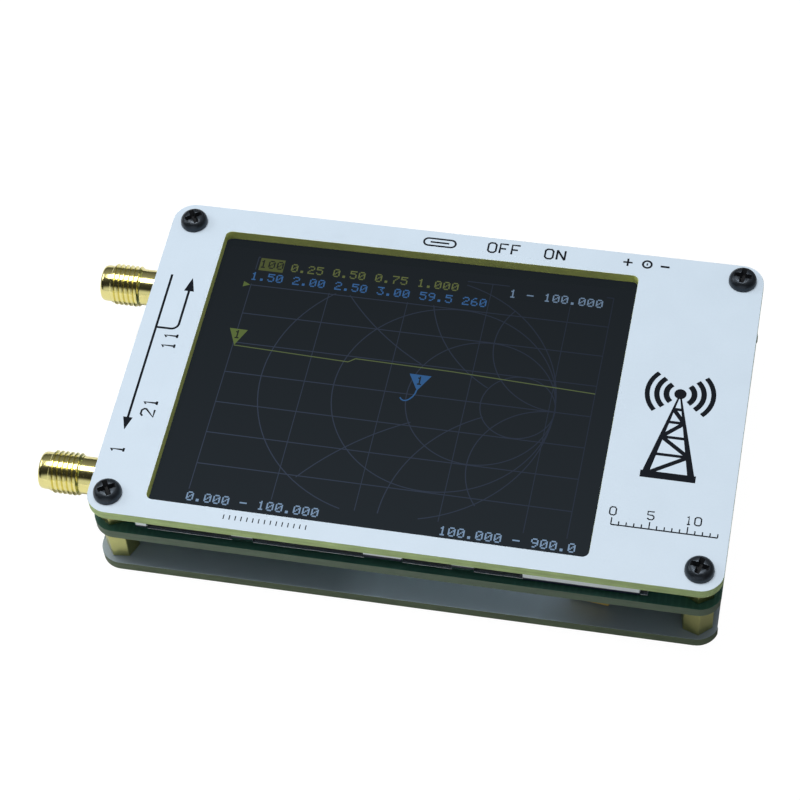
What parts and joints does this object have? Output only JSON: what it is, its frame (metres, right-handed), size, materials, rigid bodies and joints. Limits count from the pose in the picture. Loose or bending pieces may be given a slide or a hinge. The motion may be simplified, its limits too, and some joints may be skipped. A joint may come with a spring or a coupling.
{
  "type": "antenna analyzer",
  "caption": "Open-frame handheld antenna analyzer: a touch display between circuit-board plates on hex standoffs, with coaxial test ports, a slide switch and a jog lever.",
  "frame": {"origin": "middle of the plane that the unit stands on, between the heads of the four bottom screws", "axes": "+X along the reading direction of the screen, away from the two test ports; +Y towards the edge with the USB socket, the power switch and the jog lever; +Z out of the screen"},
  "size_m": [0.0951, 0.056, 0.0171],
  "materials": {
    "cover_white": "white solder mask on glass-epoxy board, satin gloss",
    "board_green": "green solder mask on glass-epoxy board, satin gloss",
    "black_steel": "black zinc, satin",
    "brass": "turned brass, satin",
    "foam_tape": "foam tape, matt",
    "tray_steel": "rolled sheet, satin",
    "frame_black": "moulded, matt",
    "clear_acrylic": "clear, polished",
    "lamp_resin": "cast resin, glossy",
    "screen_black": "polarising film over glass, glossy",
    "touch_glass": "touch film over glass, glossy",
    "ribbon_amber": "polyimide ribbon, glossy",
    "gold_plate": "gold plate, polished",
    "insulator_white": "waxy, matt",
    "bright_steel": "tin plate, satin",
    "black_plastic": "moulded, fine grain",
    "switch_brown": "phenolic board, matt",
    "tinned_metal": "tin plate, bright",
    "pouch_foil": "laminated foil, satin",
    "amber_tape": "polyimide tape, glossy",
    "lead_red": "silicone sleeve, satin",
    "lead_black": "silicone sleeve, satin",
    "chip_black": "moulded epoxy, matt",
    "capacitor_tan": "fired ceramic, satin",
    "resistor_black": "glazed, satin",
    "ferrite_grey": "pressed ferrite, matt"
  },
  "bodies": {
    "chassis": {"audio_codec": "chip_black", "back_cover": "cover_white", "backlights": "lamp_resin", "battery_guard_board": "board_green", "battery_lead_black": "lead_black", "battery_lead_red": "lead_red", "battery_pad": "foam_tape", "battery_pouch": "pouch_foil", "battery_solder": "tinned_metal", "battery_tape": "amber_tape", "bottom_screws": "black_steel", "capacitors": "capacitor_tan", "charger_chip": "chip_black", "chip_leads": "tinned_metal", "clock_chip": "chip_black", "codec_pads": "tinned_metal", "crystal": "bright_steel", "display_frame": "frame_black", "display_ribbon": "ribbon_amber", "display_tape": "foam_tape", "display_tray": "tray_steel", "front_cover": "cover_white", "inductor": "ferrite_grey", "jog_contacts": "tinned_metal", "jog_cover": "bright_steel", "jog_housing": "black_plastic", "light_guide": "clear_acrylic", "lower_standoffs": "brass", "main_board": "board_green", "microcontroller": "chip_black", "mixer_chips": "chip_black", "port_1_contact": "gold_plate", "port_1_insulator": "insulator_white", "port_1_shell": "gold_plate", "port_2_contact": "gold_plate", "port_2_insulator": "insulator_white", "port_2_shell": "gold_plate", "reference_oscillator": "bright_steel", "regulators": "chip_black", "resistors": "resistor_black", "screen_glass": "screen_black", "small_part_ends": "tinned_metal", "status_lamps": "lamp_resin", "switch_base": "switch_brown", "switch_shell": "bright_steel", "switch_terminals": "tinned_metal", "top_screws": "black_steel", "touch_panel": "touch_glass", "upper_standoffs": "brass", "usb_body": "black_plastic", "usb_contacts": "gold_plate", "usb_shell": "bright_steel"},
    "switch_slider": {"switch_slider": "black_plastic", "switch_clip": "tinned_metal"},
    "jog_carrier": {"jog_carrier": "black_plastic", "jog_spring": "tinned_metal"},
    "jog_lever": {"jog_lever": "black_plastic"}
  },
  "joints": [
    {"name": "power_slide", "type": "slide", "parent": "chassis", "child": "switch_slider", "axis": [1, 0, 0], "range_m": [-0.002, 0]},
    {"name": "jog_press", "type": "slide", "parent": "chassis", "child": "jog_carrier", "axis": [0, -1, 0], "range_m": [0, 0.0004], "stiffness_N_per_m": 1500, "springref_m": -0.0004},
    {"name": "jog_tilt", "type": "hinge", "parent": "jog_carrier", "child": "jog_lever", "pos_m": [0.0264, 0.0248, 0.0074], "axis": [0, 0, 1], "range_deg": [-12, 12], "stiffness_Nm_per_rad": 0.012}
  ]
}
